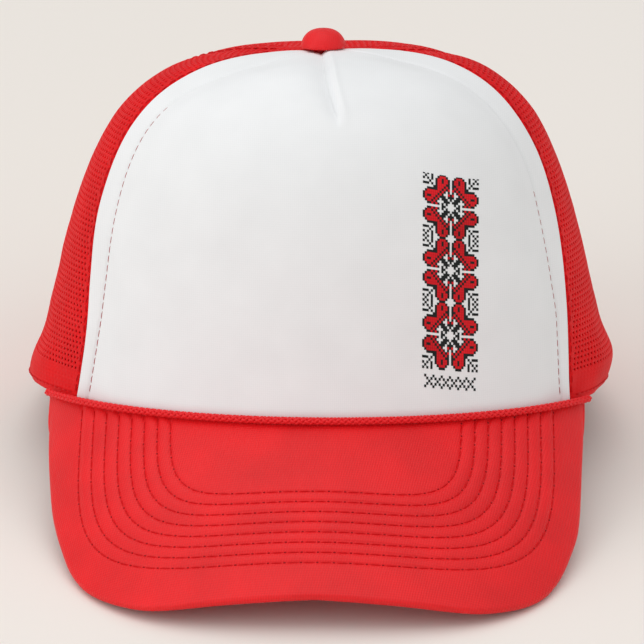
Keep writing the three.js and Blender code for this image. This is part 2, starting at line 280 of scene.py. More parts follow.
def points(x, y, z):
    return np.stack(np.broadcast_arrays(x, y, z), -1)


def bell(x, at, width):
    """1 at a place, falling off smoothly on both sides of it."""
    return np.exp(-(((x - at) / width) ** 2))


def fine_ends(dense, width):
    """A density for spread() that is higher towards both ends."""
    return lambda s: 1 + dense * bell(np.minimum(s, 1 - s), 0, width)


def spread(density, count):
    """count + 1 places from 0 to 1, closer together where the density is high."""
    at = np.linspace(0, 1, 4001)
    total = np.concatenate([[0], np.cumsum((density(at)[1:] + density(at)[:-1]) / 2)])
    return np.interp(np.linspace(0, total[-1], count + 1), total, at)


def run_along(line):
    """How far each point of a line lies along it."""
    return np.concatenate([[0], np.cumsum(np.linalg.norm(np.diff(line, axis=0), axis=1))])


def points_at(line, run, at):
    """Points of a line at places along its run."""
    return np.stack([np.interp(at, run, column) for column in line.T], -1)


def resample(line, count):
    """A line of points again, as count + 1 points evenly spread along it."""
    run = run_along(line)
    return points_at(line, run, np.linspace(0, run[-1], count + 1))


# The peak is an arched board that slopes down from the front of the rim
def arch_drop(x):
    return PEAK_ARCH * (1 - np.sqrt(1 - (x / CROWN_HALF_WIDTH) ** 2))


def arch_normal(x):
    share = x / CROWN_HALF_WIDTH
    fall = PEAK_ARCH / CROWN_HALF_WIDTH * share / np.sqrt(1 - share * share)
    return unit(points(fall, -math.sin(PEAK_SLOPE), math.cos(PEAK_SLOPE)))


def peak_face(x, out, depth, front_height):
    drop = arch_drop(x)
    slope_sin, slope_cos = math.sin(PEAK_SLOPE), math.cos(PEAK_SLOPE)
    face = points(
        x,
        -CROWN_FRONT - out * slope_cos + drop * slope_sin,
        front_height - out * slope_sin - drop * slope_cos,
    )
    return face - np.asarray(depth)[..., None] * arch_normal(x)


RIM_RUN = (CROWN_FRONT - PEAK_ARCH * math.sin(PEAK_SLOPE)) / math.cos(PEAK_SLOPE)


def peak_edge(t):
    end = np.where(t < 0, PEAK_LEFT_END, PEAK_RIGHT_END)
    share = np.abs(t) / end
    flare = PEAK_FLARE * follow(PEAK_EDGE, "round", "flare", share)
    reach = PEAK_LENGTH * follow(PEAK_EDGE, "round", "reach", share)
    left = PEAK_LEFT_FULLER * smoothstep(share, 0.35, 0.7)
    right = PEAK_RIGHT_FULLER * smoothstep(share, 0.2, 0.5) * (1 - smoothstep(share, 0.78, 0.95))
    flare = flare + np.where(t < 0, left, right)
    x = np.sign(t) * (CROWN_HALF_WIDTH * np.sin(np.abs(t)) + flare)
    return np.stack([x, reach - RIM_RUN * (1 - np.cos(t))], -1)


EDGE_TURNS = np.linspace(-PEAK_LEFT_END, PEAK_RIGHT_END, 161)
EDGE = peak_edge(EDGE_TURNS)
RIM_FRONT = -peak_face(EDGE[:, 0], EDGE[:, 1], SEAM_GAP + PEAK_THICK, 0)[:, 2].min()
RIM_FALL = (PEAK_ARCH - CROWN_FRONT * math.sin(PEAK_SLOPE)) / math.cos(PEAK_SLOPE)
RIM_SIDE = RIM_FRONT - RIM_FALL
RIM_CURVE = RIM_FALL / CROWN_FRONT * RIM_FLAT_BEHIND / RIM_SIDE


# Crown: t is the angle round it from the front, positive to the right, and up goes
# from 0 at the rim to 1 at the button
def rim(t):
    x = CROWN_HALF_WIDTH * np.sin(t)
    ahead = np.cos(t) > 0
    y = -np.where(ahead, CROWN_FRONT, CROWN_BACK) * np.cos(t)
    behind = RIM_SIDE * np.maximum(0, 1 - np.maximum(y, 0) / RIM_FLAT_BEHIND) ** RIM_CURVE
    z = np.where(ahead, RIM_FRONT - RIM_FALL * (1 - np.cos(t)), behind)
    return points(x, y, z)


def crown(t, up):
    t, up = np.broadcast_arrays(np.asarray(t, float), np.asarray(up, float))
    root = rim(t)
    turn = up * math.pi / 2
    rise = np.maximum(np.sin(turn), 0) ** (2 / ROUND_UP)
    waist = 1 - WAIST * rise * np.maximum(1 - rise, 0) ** WAIST_FADE
    wide = np.maximum(np.cos(turn), 0) ** (2 / ROUND_ACROSS) * waist
    x = root[..., 0] * wide
    behind = (root[..., 1] + BUTTON_AHEAD) * wide
    lift = RIGHT_LIFT * x * rise**4 - FRONT_LIFT * behind * rise**2
    z = root[..., 2] + (CROWN_TOP - root[..., 2]) * rise + lift
    return points(x, behind - BUTTON_AHEAD, z)


def crown_normal(t, up):
    small = 1e-3
    across = crown(t + small, up) - crown(t - small, up)
    along = crown(t, np.minimum(up + small, 1)) - crown(t, np.maximum(up - small, 0))
    return unit(np.cross(across, along))


def inside(t, up, depth):
    """A point under the crown's face. At the rim all depths lie level."""
    t, up, depth = np.broadcast_arrays(t, up, depth)
    face = crown(t, up)
    point = face - crown_normal(t, up) * depth[..., None]
    point[..., 2] = np.where(up == 0, face[..., 2], point[..., 2])
    return point


def per_turn(t, up):
    """Millimetres along the crown's face for one radian round it."""
    small = 1e-3
    step = crown(t + small, up) - crown(t - small, up)
    return np.linalg.norm(step, axis=-1) / (2 * small)


def halve(below, shape, top):
    """Shares up, from 0 to the top, at which a place is no longer below."""
    low, high = np.zeros(shape), np.full(shape, top)
    for _ in range(40):
        middle = (low + high) / 2
        short = below(middle)
        low, high = np.where(short, middle, low), np.where(short, high, middle)
    return (low + high) / 2


def up_at(t, height):
    t, height = np.broadcast_arrays(np.asarray(t, float), np.asarray(height, float))
    return halve(lambda up: crown(t, up)[..., 2] < height, t.shape, 0.9)


def on_crown(x, z, behind=False):
    """The turn and the share up of the point of the crown's face with that x and z."""
    x, z = np.broadcast_arrays(np.asarray(x, float), np.asarray(z, float))

    def turn_at(up):
        wide = crown(math.pi / 2, up)[..., 0] / CROWN_HALF_WIDTH
        t = np.arcsin(np.clip(x / (CROWN_HALF_WIDTH * np.maximum(wide, 1e-6)), -1, 1))
        return math.pi - t if behind else t

    up = halve(lambda up: crown(turn_at(up), up)[..., 2] < z, x.shape, 0.85)
    return turn_at(up), up


TOP_ROW = math.acos((TOP_HOLE / CROWN_HALF_WIDTH) ** (ROUND_ACROSS / 2)) * 2 / math.pi


def rows_up(shares):
    """Shares of the way up for shares of the length along the crown's side view."""
    samples = np.linspace(0, TOP_ROW, 801)
    run = run_along(crown(np.full(801, math.pi / 2), samples))
    return np.interp(np.asarray(shares) * run[-1], run, samples)


def seam(side, up):
    return np.radians(follow(SEAMS, "up", side, up))


def seam_half(t, up):
    p = crown(t, up)
    return np.arcsin(SEAM_GAP / 2 / np.hypot(p[..., 0], p[..., 1] + BUTTON_AHEAD))


def roll(distance, radius):
    """How far a rounded edge falls below its face at a distance from the edge."""
    near = np.clip(1 - distance / radius, 0, 1)
    return radius * (1 - np.sqrt(1 - near * near))


def waves(x, y, size, seed):
    """Gentle unevenness from -1 to 1, the same on every run."""
    total = 0
    random = np.random.default_rng(seed)
    for octave in (1, 1.7, 2.9):
        angle, shift = random.uniform(0, 2 * math.pi, 2)
        along = (x * math.cos(angle) + y * math.sin(angle)) * octave / size
        across = (y * math.cos(angle) - x * math.sin(angle)) * octave / size
        total = total + np.sin(2 * math.pi * along + shift) * np.cos(5 * across) / octave
    return total / 2


# Meshes
def show(name, data):
    thing = bpy.data.objects.new(name, data)
    bpy.context.scene.collection.objects.link(thing)
    return thing


def mesh_object(name, body, material, cloth=None, sharp=None):
    """A piece of the model from a body, which is its points and its faces."""
    place, faces = body
    mesh = bpy.data.meshes.new(name)
    mesh.from_pydata(metres(place).tolist(), [], [list(map(int, face)) for face in faces])
    mesh.polygons.foreach_set("use_smooth", np.ones(len(mesh.polygons), bool))
    if sharp is not None:
        mesh.set_sharp_from_angle(angle=math.radians(sharp))
    if cloth is not None:
        corner = np.empty(len(mesh.loops), np.int32)
        mesh.loops.foreach_get("vertex_index", corner)
        layer = mesh.uv_layers.new(name="cloth")
        flat = np.asarray(cloth, float).reshape(-1, 2)
        flat = np.tile(flat, (len(place) // len(flat), 1))
        layer.data.foreach_set("uv", flat[corner].ravel())
    mesh.materials.append(material)
    mesh.update()
    mesh.validate()
    piece = show(name, mesh)
    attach(piece, "root")
    return piece


def grid_faces(rows, columns):
    r, c = np.meshgrid(np.arange(rows - 1), np.arange(columns - 1), indexing="ij")
    a = (r * columns + c).ravel()
    return np.stack([a, a + 1, a + columns + 1, a + columns], 1)


def ring_faces(rings, sides):
    """Faces between rings of points, each ring joined to the next."""
    n = np.arange(sides)
    after = (n + 1) % sides
    a = np.arange(rings - 1)[:, None] * sides
    return np.stack([a + n, a + after, a + sides + after, a + sides + n], -1).reshape(-1, 4)


def closed(outer, inner, faces):
    """A closed body between two like sheets of points, walled along their free edges."""
    outer, inner = outer.reshape(-1, 3), inner.reshape(-1, 3)
    count = len(outer)
    faces = [list(map(int, face)) for face in faces]
    edges = {(a, b) for face in faces for a, b in zip(face, face[1:] + face[:1])}
    under = [[i + count for i in reversed(face)] for face in faces]
    walls = [[b, a, a + count, b + count] for a, b in sorted(edges) if (b, a) not in edges]
    return np.concatenate([outer, inner]), faces + under + walls


def joined(parts):
    """Several bodies of points and faces as one."""
    place, faces, start = [], [], 0
    for part_points, part_faces in parts:
        place.append(part_points)
        faces += [[i + start for i in face] for face in part_faces]
        start += len(part_points)
    return np.concatenate(place), faces


def tubes(centres, ups, radii, sides=6, wide=1.0):
    """Round threads along lines of points. ups point out of the cloth they lie on."""
    lines, length = centres.shape[:2]
    tangent = unit(np.gradient(centres, axis=1))
    side = unit(np.cross(tangent, ups))
    lift = np.cross(side, tangent)
    turn = np.arange(sides) * 2 * math.pi / sides
    ring = side[:, :, None] * np.cos(turn)[:, None] * wide + lift[:, :, None] * np.sin(turn)[:, None]
    place = centres[:, :, None] + ring * np.asarray(radii)[None, :, None, None]
    start = np.arange(lines)[:, None] * length * sides
    quads = (ring_faces(length, sides) + start[..., None]).reshape(-1, 4)
    first = start + np.arange(sides)[::-1]
    last = start + (length - 1) * sides + np.arange(sides)
    faces = quads.tolist() + first.tolist() + last.tolist()
    return place.reshape(-1, 3), faces


STITCH_SHARES = np.array([-0.5, -0.42, -0.22, 0.22, 0.42, 0.5])
STITCH_WIDTHS = np.array([0.35, 0.85, 1, 1, 0.85, 0.35])


def stitches(line, ups, pitch, length, radius, shift=0.0):
    """Short threads along a line of points, with their ends drawn into the cloth."""
    run = run_along(line)
    count = int(run[-1] / pitch)
    start = (run[-1] - (count - 1) * pitch) / 2
    at = start + np.arange(count)[:, None] * pitch + STITCH_SHARES * length + shift * pitch
    up = unit(points_at(ups, run, at))
    sunk = radius * (1.9 * (2 * STITCH_SHARES) ** 4 - 0.7)
    centre = points_at(line, run, at) - up * sunk[:, None]
    return tubes(centre, up, STITCH_WIDTHS * radius)


# Materials
def linear(red, green, blue):
    def one(value):
        share = value / 255
        return share / 12.92 if share <= 0.04045 else ((share + 0.055) / 1.055) ** 2.4

    return one(red), one(green), one(blue), 1


class Surface:
    """A material's nodes, made with short calls."""

    def __init__(self, name, roughness, specular=0.5, sheen=0.0):
        self.material = bpy.data.materials.new(name)
        self.material.use_nodes = True
        self.tree = self.material.node_tree
        self.shader = self.tree.nodes["Principled BSDF"]
        self.shader.inputs["Roughness"].default_value = roughness
        self.shader.inputs["Specular IOR Level"].default_value = specular
        self.shader.inputs["Sheen Weight"].default_value = sheen
        self.shader.inputs["Sheen Roughness"].default_value = 0.45

    def node(self, kind, **values):
        node = self.tree.nodes.new("ShaderNode" + kind)
        for name, value in values.items():
            setattr(node, name, value)
        return node

    def link(self, output, target):
        self.tree.links.new(output, target)

    def math(self, operation, a, b=None):
        node = self.node("Math", operation=operation)
        for socket, value in zip(node.inputs, (a, b)):
            if value is None:
                continue
            if isinstance(value, bpy.types.NodeSocket):
                self.link(value, socket)
            else:
                socket.default_value = value
        return node.outputs[0]

    def noise(self, per_metre, detail=2.0):
        place = self.node("TexCoord")
        noise = self.node("TexNoise")
        noise.inputs["Scale"].default_value = per_metre
        noise.inputs["Detail"].default_value = detail
        self.link(place.outputs["Object"], noise.inputs["Vector"])
        return noise.outputs["Fac"]

    def threads(self, pitch_across, pitch_along, twill=0.0):
        """A weave's height from 0 to 1, read from the cloth's own millimetres."""
        cloth = self.node("UVMap", uv_map="cloth")
        split = self.node("SeparateXYZ")
        self.link(cloth.outputs["UV"], split.inputs[0])
        slant = self.math("MULTIPLY", split.outputs[1], twill)
        across = self.math("ADD", split.outputs[0], slant)
        warp = self.math("SINE", self.math("MULTIPLY", across, 2 * math.pi / pitch_across))
        weft = self.math(
            "SINE", self.math("MULTIPLY", split.outputs[1], 2 * math.pi / pitch_along)
        )
        both = self.math("ADD", self.math("MULTIPLY", warp, 0.3), 0.5)
        return self.math("ADD", both, self.math("MULTIPLY", weft, 0.2))

    def colour(self, factor, dark, light):
        mix = self.node("Mix", data_type="RGBA")
        mix.inputs["A"].default_value = dark
        mix.inputs["B"].default_value = light
        self.link(factor, mix.inputs["Factor"])
        self.link(mix.outputs["Result"], self.shader.inputs["Base Color"])

    def bump(self, height, depth_mm):
        bump = self.node("Bump")
        bump.inputs["Distance"].default_value = depth_mm / 1000
        self.link(height, bump.inputs["Height"])
        self.link(bump.outputs["Normal"], self.shader.inputs["Normal"])


def cloth_material(name, dark, light, pitch, depth_mm, roughness, specular, twill=0.0):
    surface = Surface(name, roughness, specular)
    weave = surface.threads(*pitch, twill)
    fuzz = surface.noise(2600)
    patches = surface.noise(70)
    height = surface.math("ADD", weave, surface.math("MULTIPLY", fuzz, 0.6))
    shade = surface.math("ADD", surface.math("MULTIPLY", height, 0.45), patches)
    surface.colour(surface.math("MULTIPLY", shade, 0.75), dark, light)
    surface.bump(height, depth_mm)
    return surface.material


def plain_material(name, dark, light, per_metre, depth_mm, roughness, specular=0.4, sheen=0.0):
    surface = Surface(name, roughness, specular, sheen)
    grain = surface.noise(per_metre)
    surface.colour(grain, dark, light)
    surface.bump(grain, depth_mm)
    return surface.material


FRONT_CLOTH = cloth_material(
    "front_cloth", linear(228, 229, 230), linear(240, 241, 242), (0.62, 0.7), 0.008, 0.75, 0.1
)
PEAK_CLOTH = cloth_material(
    "peak_cloth", linear(196, 6, 13), linear(243, 14, 23), (0.78, 0.9), 0.09, 0.5, 0.38, 0.2
)
NET_CLOTH = cloth_material(
    "net", linear(196, 6, 14), linear(236, 9, 17), (1.1, 1.25), 0.05, 0.6, 0.16, 0.8
)
BAND_CLOTH = cloth_material(
    "band_cloth", linear(190, 8, 16), linear(216, 14, 22), (0.7, 0.8), 0.06, 0.8, 0.15
)
ROPE_CLOTH = plain_material(
    "rope", linear(218, 12, 20), linear(246, 24, 34), 2200, 0.05, 0.45, 0.35, 0.05
)
STRAP_PLASTIC = plain_material(
    "strap", linear(186, 12, 20), linear(200, 16, 26), 400, 0.01, 0.35, 0.5
)
# Dark red thread. The same material also gives the painted shade of the peak's needle holes.
THREAD_AND_HOLE_SHADE = plain_material("thread", linear(140, 6, 14), linear(172, 10, 20), 3000, 0.03, 0.5, 0.2)
PEAK_THREAD = plain_material(
    "peak_thread", linear(196, 7, 14), linear(218, 9, 18), 3000, 0.03, 0.5, 0.2
)
MOTIF_RED = cloth_material(
    "motif_red", linear(120, 10, 18), linear(236, 30, 40), (1, 1), 0.02, 0.6, 0.15
)
MOTIF_BLACK = cloth_material(
    "motif_black", linear(8, 10, 10), linear(36, 40, 40), (1, 1), 0.02, 0.6, 0.15
)


# Front panel
def dart_depth(t, up):
    across = crown(t, up)[..., 0] - follow(DART, "up", "across", up)
    reach = (1 - up) / (1 - DART_END)
    strength = smoothstep(reach, -0.3, 0.35) * (1 - smoothstep(reach, 0.8, 1.04))
    narrow = 1 - 0.4 * smoothstep(reach, 0.45, 1)
    width = np.where(across < 0, DART_LEFT, DART_RIGHT) * narrow
    crease = np.exp(-((np.abs(across) / width) ** 1.15))
    lobe = bell(across, 2.4 * DART_RIGHT, DART_RIGHT)
    return strength * (DART_DEPTH * crease - DART_LOBE * lobe)


def front_face(t, up):
    """Depth of the panel's outer face: rolled edges, a sewn strip, the dart."""
    depth = dart_depth(t, up)
    scale = per_turn(t, up)
    for side, way in (("left", -1), ("right", 1)):
        edge = seam(side, up)
        row = np.radians(follow(TOPSTITCHES, "up", side, up))
        from_edge = (edge - way * t) * scale
        from_row = (way * t - row) * scale
        share = np.clip((way * t - row) / (edge - row), 0, 1)
        panel = bell(np.minimum(from_row, 0), 0, STRIP_EASE)
        level = 1 - smoothstep(up, *STRIP_ENDS)
        depth = depth + level * (STRIP_STEP * panel * (1 - share) - STRIP_PROUD * share)
        depth = depth + FRONT_ROUND_SHARE * roll(from_edge, FRONT_ROUND)
        depth = depth + GROOVE_DEPTH * bell(from_row, 0, GROOVE_HALF)
    place = crown(t, up)
    depth = depth + FRONT_WAVES * waves(place[..., 0], place[..., 2], 46, 3)
    foot = place[..., 2] - rim(t)[..., 2]
    return depth + FOOT_ROUND_SHARE * roll(foot, FOOT_ROUND)


def front_panel():
    rows = rows_up(spread(lambda s: 1 + 5 * bell(s, 0, 0.008), 118))
    strip = np.array([0, 0.015, 0.04, 0.08, 0.14, 0.24, 0.36, 0.5, 0.64, 0.76, 0.86, 0.93])
    middle = spread(lambda s: fine_ends(4, 0.01)(s) + 3 * bell(s, 0.515, 0.045), 144)
    up = rows[:, None]
    left = -seam("left", up) + seam_half(-seam("left", up), up)
    right = seam("right", up) - seam_half(seam("right", up), up)
    left_row = -np.radians(follow(TOPSTITCHES, "up", "left", up))
    right_row = np.radians(follow(TOPSTITCHES, "up", "right", up))
    t = np.concatenate(
        [
            left + (left_row - left) * strip,
            left_row + (right_row - left_row) * middle,
            right + (right_row - right) * strip[::-1],
        ],
        axis=1,
    )
    up = np.broadcast_to(up, t.shape)
    outer = inside(t, up, front_face(t, up))
    inner = inside(t, up, FOAM + 0.7 * dart_depth(t, up))
    middle_line = outer[:, 80]
    height = run_along(middle_line)[:, None]
    cloth = np.stack(np.broadcast_arrays(outer[..., 0], height), -1)
    body = closed(outer, inner, grid_faces(*t.shape))
    piece = mesh_object("padded_front", body, FRONT_CLOTH, cloth)
    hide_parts("front_panel")


def topstitch(side, way):
    up = np.linspace(0.006, THREAD_ENDS[side], 240)
    t = way * np.radians(follow(TOPSTITCHES, "up", side, up))
    line = inside(t, up, front_face(t, up) + 0.02)
    body = stitches(line, crown_normal(t, up), **TOPSTITCH)
    mesh_object("topstitch_" + side, body, THREAD_AND_HOLE_SHADE)


# Ornament: cells of the chart laid on the front panel
def ornament_place(column, row):
    """x and z on the panel for a corner of the chart, counted from its top left."""
    row = np.maximum(row - 0.5, 0)
    across = (column - (2 * len(MOTIF[0]) - 1) / 2) * CELL_WIDTH
    lean = LEAN_TOP + LEAN_GROWTH * row
    height = ORNAMENT_TOP - ROW_FALL * row - ROW_GROWTH * row * row
    return ORNAMENT_CENTRE + ORNAMENT_DRIFT * row + across, height + lean * across


def chart():
    """All rows of the ornament from its top down, with the border under it."""
    half = [row[:0:-1] + row for row in MOTIF]
    motif = half[:0:-1] + half[:-1]
    rows = motif * MOTIFS + [half[-1]]
    wide = len(rows[0])
    bare = "." * wide
    border = [row[:0:-1] + row for row in BORDER]
    pad = "." * ((wide - len(border[0])) // 2)
    framed = [pad + row + pad for row in border + border[-2::-1]]
    return rows + [bare] * 2 + framed


def ornament():
    rows = chart()
    wide = len(rows[0])
    for code, material, name in (("r", MOTIF_RED, "motif_red"), ("b", MOTIF_BLACK, "motif_black")):
        cells = [(r, c) for r in range(len(rows)) for c in range(wide) if rows[r][c] == code]
        corners = {}
        faces = []
        for r, c in cells:
            square = [(r + 1, c), (r + 1, c + 1), (r, c + 1), (r, c)]
            faces.append([corners.setdefault(corner, len(corners)) for corner in square])
        at = np.array(list(corners), float)
        x, z = ornament_place(at[:, 1], at[:, 0])
        t, up = on_crown(x, z)
        face = front_face(t, up) - FILM_PROUD
        body = closed(inside(t, up, face), inside(t, up, face + FILM_THICK), faces)
        mesh_object("ornament_" + name, body, material, at[:, ::-1] - 0.25, sharp=40)


# Net panels: a lattice of six-sided cells laid on the crown and cut at the seams
class NetSheet:
    def __init__(self, left, right, middle, cut=None):
        self.left, self.right, self.middle, self.cut = left, right, middle, cut
        self.ups = np.linspace(0, TOP_ROW, 161)
        self.turns = np.linspace(-1.1, 1.1, 221)
        grid = crown(self.middle + self.turns[None, :], self.ups[:, None])
        steps = np.linalg.norm(np.diff(grid, axis=1), axis=2)
        run = np.concatenate([np.zeros((161, 1)), np.cumsum(steps, axis=1)], axis=1)
        self.run = run - run[:, 110:111]
        self.rise = run_along(crown(np.full(161, self.middle), self.ups))

    def place(self, flat):
        """Turn and share up for places on the flat cloth, across and up."""
        up = np.interp(flat[:, 1], self.rise, self.ups)
        up = np.where(flat[:, 1] < 0, -1e-3, up)
        row = np.clip(up / self.ups[-1] * 160, 0, 159.999)
        low = row.astype(int)
        share = (row - low)[:, None]
        runs = self.run[low] * (1 - share) + self.run[low + 1] * share
        t = np.array([np.interp(s, run, self.turns) for s, run in zip(flat[:, 0], runs)])
        return self.middle + t, up

    def room(self, flat):
        """Millimetres inside each edge of the panel: seams, rim, top and arch."""
        t, up = self.place(flat)
        share = np.clip(up, 0, TOP_ROW)
        scale = per_turn(t, share)
        room = [
            (t - self.left(share) - seam_half(self.left(share), share)) * scale,
            (self.right(share) - seam_half(self.right(share), share) - t) * scale,
            flat[:, 1],
            self.rise[-1] - flat[:, 1],
        ]
        if self.cut:
            p = crown(t, share)
            room.append(self.cut(p[:, 0], p[:, 2]))
        return np.stack(room, 1)


def clip(polygon, room, edge):
    """The part of a polygon inside one edge, as flat places and their room."""
    kept, kept_room = [], []
    for n in range(len(polygon)):
        a, b = room[n - 1, edge], room[n, edge]
        if (a < 0) != (b < 0):
            share = a / (a - b)
            kept.append(polygon[n - 1] + (polygon[n] - polygon[n - 1]) * share)
            kept_room.append(room[n - 1] + (room[n] - room[n - 1]) * share)
        if b >= 0:
            kept.append(polygon[n])
            kept_room.append(room[n])
    return np.array(kept), np.array(kept_room)


def net_lattice(sheet):
    """Faces on the flat cloth, with open cells, and filled ones where it is doubled."""
    wide = np.abs(sheet.run).max()
    columns = int(wide / HOLE_PITCH) + 2
    rows = int(sheet.rise[-1] / HOLE_ROW) + 2
    corner = np.array([[0, -2], [1, -1], [1, 1], [0, 2], [-1, 1], [-1, -1]])
    corner = corner * [HOLE_PITCH / 2, HOLE_ROW / 3]
    centres = np.array(
        [
            ((c + (r % 2) / 2) * HOLE_PITCH, r * HOLE_ROW)
            for r in range(-1, rows)
            for c in range(-columns, columns)
        ]
    )
    rings = centres[:, None] + corner
    room = sheet.room(rings.reshape(-1, 2)).reshape(len(rings), 6, -1)
    places, index, faces = [], {}, []

    def vertex(flat, sunk):
        key = (round(flat[0] * 500), round(flat[1] * 500), sunk)
        if key not in index:
            index[key] = len(places)
            places.append((flat[0], flat[1], sunk))
        return index[key]

    for ring, space in zip(rings, room):
        if (space.max(0) < 0).any():
            continue
        if (space.min(0) < 0).any():
            polygon = ring
            for edge in range(space.shape[1]):
                if len(polygon):
                    polygon, space = clip(polygon, space, edge)
            face = list(dict.fromkeys(vertex(p, 0) for p in polygon))
            if len(face) > 2:
                faces.append(face)
            continue
        doubled = space[:, 2].min() < HEM_HEIGHT
        margin = np.delete(space, 2, axis=1).min() < NET_MARGIN
        hole = ring.mean(0) + (ring - ring.mean(0)) * HOLE_SHARE
        outer = [vertex(p, 0) for p in ring]
        inner = [vertex(p, 2 if doubled or margin else 1) for p in hole]
        for n in range(6):
            faces.append([outer[n - 1], outer[n], inner[n], inner[n - 1]])
        if doubled or margin:
            faces.append(inner)
    return np.array(places), faces


def tuck(t, height):
    """How far the doubled hem of the net turns inwards towards the rim."""
    turn = np.degrees(np.abs(t))
    strength = smoothstep(turn, *HEM_STARTS) * (1 - smoothstep(turn, *HEM_ENDS))

    def side(hem):
        inwards = hem["tuck"] * np.clip(1 - height / hem["fold"], 0, 1) ** 2
        return inwards - hem["bulge"] * bell(height, hem["at"], hem["width"])

    return strength * np.where(t < 0, side(HEM_LEFT), side(HEM_RIGHT))


def pucker(edge, height):
    """Gathers of the net beside a seam."""
    gathers = np.sin(2 * math.pi * height / PUCKER_LENGTH + 1.7 * np.sin(height / 5.3))
    return PUCKER_DEPTH * np.exp(-edge / PUCKER_FADE) * gathers


def net_depth(sheet, t, up):
    """The net's outer face: puffed between its seams, folded and rolled beside them."""
    left, right = sheet.left(up), sheet.right(up)
    share = (t - left) / (right - left)
    middle = np.sin(math.pi * np.clip(share, 0, 1)) ** 0.7
    puff = NET_PUFF * smoothstep(up, *PUFF_STARTS) * (1 - smoothstep(up, *PUFF_ENDS))
    puff = puff + RIGHT_PUFF * smoothstep(t, 0.6, 1.2) * bell(up, RIGHT_PUFF_UP, RIGHT_PUFF_HALF)
    sag = np.where(t < 0, LEFT_SAG, RIGHT_SAG) * bell(up, SAG_UP, SAG_HALF)
    depth = NET_SINK + (sag - puff) * middle
    scale = per_turn(t, up)
    edge = np.minimum(t - left, right - t) * scale
    place = crown(t, up)
    depth = depth - 0.22 * bell(edge, 1.6, 0.9) + 0.35 * roll(edge, 0.9)
    depth = depth + tuck(t, place[..., 2] - rim(t)[..., 2])
    depth = depth + pucker(edge, np.hypot(place[..., 2], 0.4 * place[..., 1]))
    return depth + 0.2 * waves(place[..., 1], place[..., 2], 26, 5)


def net_panel(name, node, left, right, middle, cut=None):
    sheet = NetSheet(left, right, middle, cut)
    flat, faces = net_lattice(sheet)
    t, up = sheet.place(flat[:, :2])
    up = np.clip(up, 0, TOP_ROW)
    level = flat[:, 2].astype(int)
    depth = net_depth(sheet, t, up) + CELL_SUNK[level]
    inner = inside(t, up, depth + NET - CELL_THINNER[level])
    body = closed(inside(t, up, depth), inner, faces)
    piece = mesh_object(name, body, NET_CLOTH, flat[:, :2])
    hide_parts(node)
    return sheet


def arch_room(x, z):
    """Roughly how far a place at the back lies outside the arch's binding."""
    wide = ARCH_HALF_WIDTH + BINDING_WIDTH + SEAM_GAP
    high = ARCH_HEIGHT + BINDING_WIDTH + SEAM_GAP
    return (np.hypot(x / wide, z / high) - 1) * (wide + high) / 2


def back_of(up):
    return seam("back", up)


def net_panels():
    left_side = net_panel(
        "net_side_left", "mesh_side_left", lambda up: -back_of(up),
        lambda up: -seam("left", up), math.radians(-86),
    )
    right_side = net_panel(
        "net_side_right", "mesh_side_right", lambda up: seam("right", up),
        back_of, math.radians(86),
    )
    left_back = net_panel(
        "net_back_left", "mesh_back_left", lambda up: 0 * up - math.pi,
        lambda up: -back_of(up), math.radians(-146), arch_room,
    )
    right_back = net_panel(
        "net_back_right", "mesh_back_right", back_of,
        lambda up: 0 * up + math.pi, math.radians(146), arch_room,
    )
    return left_side, right_side, left_back, right_back


def net_stitches(sheets):
    """Rows of thread beside the net's seams and above its rim."""
    bodies = []
    left_side, right_side, left_back, right_back = sheets

    def add(sheet, t, up):
        line = inside(t, up, net_depth(sheet, t, up) - 0.12)
        keep = np.ones(len(t), bool)
        if sheet.cut:
            keep = sheet.cut(line[:, 0], line[:, 2]) > 0.8
        bodies.append(stitches(line[keep], crown_normal(t, up)[keep], **NET_STITCH))

    up = np.linspace(0.004, 0.95, 400)
    for sheet, edge, aside in (
        (left_side, left_side.left, SEAM_STITCH),
        (left_back, left_back.right, -SEAM_STITCH),
        (left_back, left_back.left, SEAM_STITCH),
        (right_side, right_side.right, -SEAM_STITCH),
        (right_back, right_back.left, SEAM_STITCH),
        (right_back, right_back.right, -SEAM_STITCH),
        (left_side, left_side.right, -FRONT_STITCH),
        (right_side, right_side.left, FRONT_STITCH),
    ):
        start = edge(up)
        add(sheet, start + aside / per_turn(start, up), up)
    for sheet in sheets:
        t = np.linspace(sheet.left(0.0) + 0.03, sheet.right(0.0) - 0.03, 300)
        add(sheet, t, up_at(t, rim(t)[:, 2] + HEM_STITCH))
    mesh_object("net_stitches", joined(bodies), PEAK_THREAD)


# Peak: its faces follow the stitch rows, from the rim out to its edge
PEAK_COLUMNS = 300


def rim_out(x):
    return -RIM_RUN * (1 - np.sqrt(1 - (x / CROWN_HALF_WIDTH) ** 2))


def to_rim(line):
    """A line over the peak with both its ends drawn onto the rim."""
    line = line.copy()
    fade = np.maximum(0, 1 - np.arange(len(line)) / 14)
    for ends in (line, line[::-1]):
        ends[:, 1] += (rim_out(ends[0, 0]) - ends[0, 1]) * fade
    return line


def stitch_row(k):
    """A row of stitches as x and the distance out, from the rim round to the rim."""
    share = k / (ROWS - 1)
    half, reach, square = (
        INNER_ROW[key] + (OUTER_ROW[key] - INNER_ROW[key]) * share
        for key in ("half", "reach", "square")
    )
    way = np.linspace(-1, 1, 1601) * math.pi / 2
    turn = (1 - np.sin(np.sin(way) * math.pi / 2)) * math.pi / 2
    x = half * np.sign(np.cos(turn)) * np.abs(np.cos(turn)) ** (2 / square)
    out = ROWS_ROOT + (reach - ROWS_ROOT) * np.abs(np.sin(turn)) ** (2 / square)
    ends = np.linspace(-60, ROWS_ROOT, 80, endpoint=False)
    x = ROWS_CENTRE + np.concatenate([np.full(80, -half), x, np.full(80, half)])
    out = np.concatenate([ends, out, ends[::-1]])
    keep = out > rim_out(x)
    return to_rim(resample(np.stack([x[keep], out[keep]], 1), PEAK_COLUMNS))


